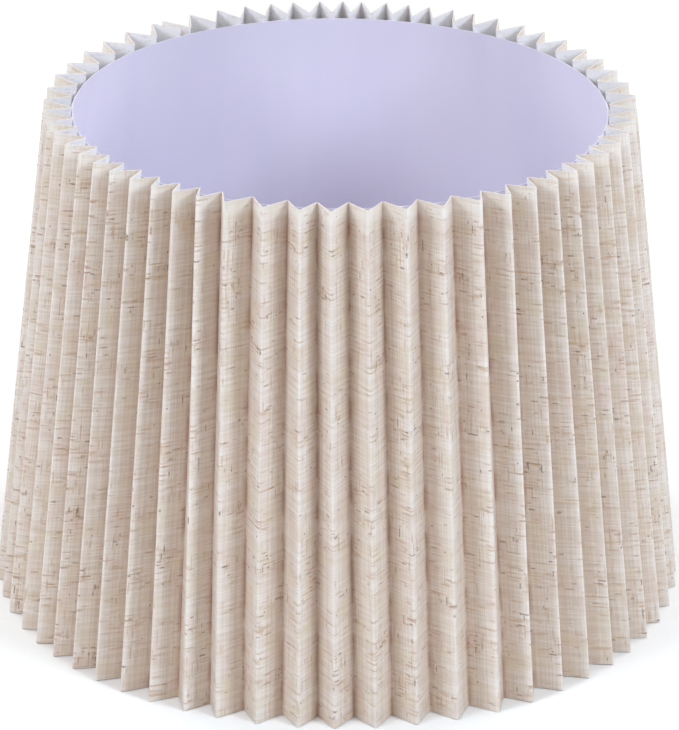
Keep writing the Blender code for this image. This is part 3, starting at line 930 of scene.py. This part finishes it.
def make_pivots(paint, fibre, weld_metal):
    hole = ring_points(RIVET_HOLE_RADIUS)
    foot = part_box("pivot_lug_right")[0].z - PIVOT_HEIGHT
    outline = [(-LUG_HALF_WIDTH, foot), (LUG_HALF_WIDTH, foot)]
    for step in range(21):
        turn = math.pi * step / 20
        outline.append((LUG_HALF_WIDTH * math.cos(turn), LUG_HALF_WIDTH * math.sin(turn)))
    for side, word in ((-1, "left"), (1, "right")):
        rows = (
            ("pivot_lug", "lug_plate", (outline, hole), PLATE_THICKNESS, 0.00015, paint,
             "shade", "steel_wire"),
            ("friction_washer", "fibre_washer", (ring_points(WASHER_RADIUS), hole), WASHER_THICKNESS,
             0.00006, fibre, "shade", "washer"),
            ("gimbal_tab", "eye_plate", (ring_points(EYE_RADIUS), hole), PLATE_THICKNESS, 0.00015, paint,
             "gimbal", "steel_wire"),
        )
        for node, name, outlines, thickness, edge, material, body, slot in rows:
            low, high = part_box(f"{node}_{word}")
            obj = flat_plate(f"{name}_{word}", outlines, thickness, edge, material)
            stand_across_x(obj, (low.x + high.x) / 2)
            place_piece(obj, body, slot, f"{node}_{word}")
        outer_face = max(abs(c.x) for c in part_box(f"pivot_lug_{word}")) + GAP
        inner_face = min(abs(c.x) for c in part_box(f"gimbal_tab_{word}")) - GAP
        rivet = lathe(f"rivet_{word}", rivet_profile(outer_face, inner_face), 40, [paint], 0.00003, side)
        turn = Matrix.Translation((0, 0, PIVOT_HEIGHT)) @ Matrix.Rotation(side * math.pi / 2, 4, "Y")
        rivet.data.transform(turn)
        place_piece(rivet, "shade", "steel_wire", f"pivot_rivet_{word}")
        for half, end in ((-1, "front"), (1, "back")):
            weld(f"lug_weld_{word}_{end}", (side * 0.1357, half * 0.0040, 0.0066),
                 (0.0009, 0.0013, 0.0009), side * 3 + half, weld_metal, "shade")


# ---- the gimbal, fitter and reducer ----

def wire_route(side):
    """One arched wire: along the fitter ring's edge, then out and down to the eye's side."""
    start_y = FITTER_OUTER_RADIUS + GIMBAL_WIRE_RADIUS + GAP
    end_y = EYE_RADIUS + GIMBAL_WIRE_RADIUS + GAP
    low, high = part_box("fitter_ring")
    middle = (low.z + high.z) / 2
    half = []
    for step in range(49):
        share = step / 48
        bend = smooth_share(share)
        half.append(Vector((between(WIRE_STRAIGHT, EYE_END, share), side * between(start_y, end_y, bend),
                            between(middle, PIVOT_HEIGHT, bend))))
    spots = (-WIRE_STRAIGHT / 2, 0.0, WIRE_STRAIGHT / 2)
    straight = [Vector((x, side * start_y, middle)) for x in spots]
    return [Vector((-p.x, p.y, p.z)) for p in reversed(half)] + straight + half


def tube(name, route, radius, material, sides=14):
    """A round wire along a route, with softened ends."""
    points = []
    last = len(route) - 1
    stations = [(route[0], 0, 0.55, -1), (route[0], 0, 0.9, -0.4)]
    stations += [(point, index, 1.0, 0) for index, point in enumerate(route)]
    stations += [(route[last], last, 0.9, 0.4), (route[last], last, 0.55, 1)]
    for point, index, swollen, ahead in stations:
        way = (route[min(index + 1, last)] - route[max(index - 1, 0)]).normalized()
        side = way.cross(Vector((0, 0, 1))).normalized()
        up = side.cross(way)
        middle = point + way * (ahead * radius * 0.35)
        for step in range(sides):
            turn = math.tau * step / sides
            points.append(middle + (side * math.cos(turn) + up * math.sin(turn)) * radius * swollen)
    count = len(stations)
    faces = []
    for index in range(count - 1):
        for step in range(sides):
            after = (step + 1) % sides
            faces.append((index * sides + step, index * sides + after,
                          (index + 1) * sides + after, (index + 1) * sides + step))
    faces.append(tuple(range(sides)))
    faces.append(tuple((count - 1) * sides + step for step in reversed(range(sides))))
    mesh = bpy.data.meshes.new(name)
    mesh.from_pydata(points, [], faces)
    point_outwards(mesh)
    return finish_mesh(name, mesh, [material])


def make_gimbal(paint, weld_metal):
    low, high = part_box("fitter_ring")
    middle = (low.z + high.z) / 2
    for side, word in ((-1, "front"), (1, "back")):
        wire = tube(f"arch_wire_{word}", wire_route(side), GIMBAL_WIRE_RADIUS, paint)
        place_piece(wire, "gimbal", "steel_wire", f"gimbal_wire_{word}")
        weld(f"fitter_weld_{word}", (0, side * 0.0284, middle), (0.0065, 0.0011, 0.0010), side * 2.0,
             weld_metal, "gimbal")
        for end, hand in ((-1, "left"), (1, "right")):
            weld(f"eye_weld_{word}_{hand}", (end * EYE_END, side * 0.0052, PIVOT_HEIGHT),
                 (0.0010, 0.0009, 0.0016), side * 5.0 + end, weld_metal, "gimbal")
    outline = [(FITTER_OUTER_RADIUS, high.z), (FITTER_OUTER_RADIUS, low.z),
               (FITTER_HOLE_RADIUS, low.z), (FITTER_HOLE_RADIUS, high.z)]
    fitter = lathe("fitter_plate", rounded(outline, 0.0004), 160, [paint], 0.00004, 3.0)
    place_piece(fitter, "gimbal", "steel_wire", "fitter_ring")


def make_reducer(plastic):
    low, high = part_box("reducer_ring")
    seat = high.z - REDUCER_FLANGE_THICKNESS
    outline = [
        (REDUCER_FLANGE_RADIUS, high.z), (REDUCER_FLANGE_RADIUS, seat), (REDUCER_SPIGOT_RADIUS, seat),
        (0.0204, low.z), (0.0183, low.z), (0.0181, seat + 0.0004), (0.0162, seat + 0.0004),
        (0.0160, low.z), (REDUCER_HOLE_RADIUS, low.z), (REDUCER_HOLE_RADIUS, high.z), (0.0172, high.z),
        (0.0175, high.z - 0.0005), (0.0225, high.z - 0.0005), (0.0228, high.z),
    ]
    reducer = lathe("reducer_moulding", rounded(outline, 0.0004), 144, [plastic], 0.00003, 6.0)
    return place_piece(reducer, "reducer", "plastic", "reducer_ring")


# ---- stage, lights and camera ----

FLOOR_HALF_SIZE = 12.0
FLOOR_HEIGHT = -0.0002
FLOOR_TINT = (0.88, 0.88, 0.88)
WORLD_STRENGTH = 0.15
LIGHT_AIM = (0, 0, 0.11)
LIGHTS = (  # name, place, size, watts, colour
    ("left_key", (-1.47, -1.06, 1.22), (0.7, 0.7), 19.5, (0.84, 0.92, 1.0)),
    ("right_key", (1.47, -1.06, 1.22), (0.6, 0.7), 22, (0.77, 0.885, 1.0)),
    ("left_fill", (-0.45, -2.1, 0.9), (0.8, 0.8), 3.0, (1.0, 0.96, 0.93)),
    ("right_fill", (0.45, -2.1, 0.9), (0.8, 0.8), 4.0, (1.0, 0.93, 0.88)),
    ("top_light", (0.0, 0.1, 2.0), (1.6, 1.6), 20, (1.0, 1.0, 1.0)),
    ("left_back", (-1.7, 1.3, 1.1), (1.0, 1.0), 21, (1.0, 1.0, 1.0)),
    ("right_back", (1.7, 1.3, 1.1), (1.0, 1.0), 21, (1.0, 1.0, 1.0)),
)
CAMERA_PLACE = (0, -1.585, 0.8168)
CAMERA_DIP = 24.436  # degrees below level
CAMERA_ROLL = 0.0073
CAMERA_LENS = 195.09
CAMERA_SHIFT = 0.0016


def make_floor():
    material = Graph("pale_floor", 0.9, Specular_IOR_Level=0.1)
    material.colour(FLOOR_TINT)
    mesh = bpy.data.meshes.new("floor")
    half = FLOOR_HALF_SIZE
    mesh.from_pydata([(-half, -half, 0), (half, -half, 0), (half, half, 0), (-half, half, 0)], [],
                     [(0, 1, 2, 3)])
    mesh.materials.append(material.material)
    floor = bpy.data.objects.new("floor", mesh)
    floor.location.z = FLOOR_HEIGHT
    bpy.context.scene.collection.objects.link(floor)


def area_light(name, place, size, power, colour):
    light = bpy.data.lights.new(name, "AREA")
    light.shape = "RECTANGLE"
    light.size, light.size_y = size
    light.energy = power
    light.color = colour
    obj = bpy.data.objects.new(name, light)
    bpy.context.scene.collection.objects.link(obj)
    obj.location = place
    obj.rotation_euler = (Vector(LIGHT_AIM) - Vector(place)).to_track_quat("-Z", "Y").to_euler()


def make_lights():
    world = bpy.data.worlds.new("studio")
    world.use_nodes = True
    backdrop = world.node_tree.nodes["Background"]
    backdrop.inputs["Color"].default_value = (1.0, 1.0, 1.0, 1.0)
    backdrop.inputs["Strength"].default_value = WORLD_STRENGTH
    bpy.context.scene.world = world
    for row in LIGHTS:
        area_light(*row)


def make_camera():
    data = bpy.data.cameras.new("camera")
    data.sensor_width = 36.0
    data.lens = CAMERA_LENS
    data.shift_x = CAMERA_SHIFT
    data.clip_start = 0.05
    data.clip_end = 50
    camera = bpy.data.objects.new("camera", data)
    bpy.context.scene.collection.objects.link(camera)
    tilt = Matrix.Rotation(math.radians(90 - CAMERA_DIP), 4, "X")
    roll = Matrix.Rotation(CAMERA_ROLL, 4, "Z")
    camera.matrix_world = Matrix.Translation(CAMERA_PLACE) @ tilt @ roll
    bpy.context.scene.camera = camera


def main():
    bpy.context.scene.view_settings.view_transform = "Standard"
    make_camera()
    make_floor()
    make_lights()
    paint = paint_material()
    weld_metal = weld_material()
    glue_tape = tape_material("glue_tape", linear(232, 232, 226), linear(214, 213, 205), 0.55)
    lap_tape = tape_material("lap_tape", (0.82, 0.815, 0.93), (0.76, 0.755, 0.90), 0.28)
    make_bands(strip_steel_material(), glue_tape)
    make_cover([linen_material(), backing_material(), cut_edge_material()])
    make_liner(liner_material("liner_sheet_plastic", LINER_TINT, LINER_TINT_PALE),
               liner_material("liner_cut_edge", LINER_TINT_PALE, LINER_TINT_PALE))
    make_tape(lap_tape)
    make_ring(paint, glue_material())
    make_pivots(paint, fibre_material(), weld_metal)
    make_gimbal(paint, weld_metal)
    make_reducer(moulded_material())


main()
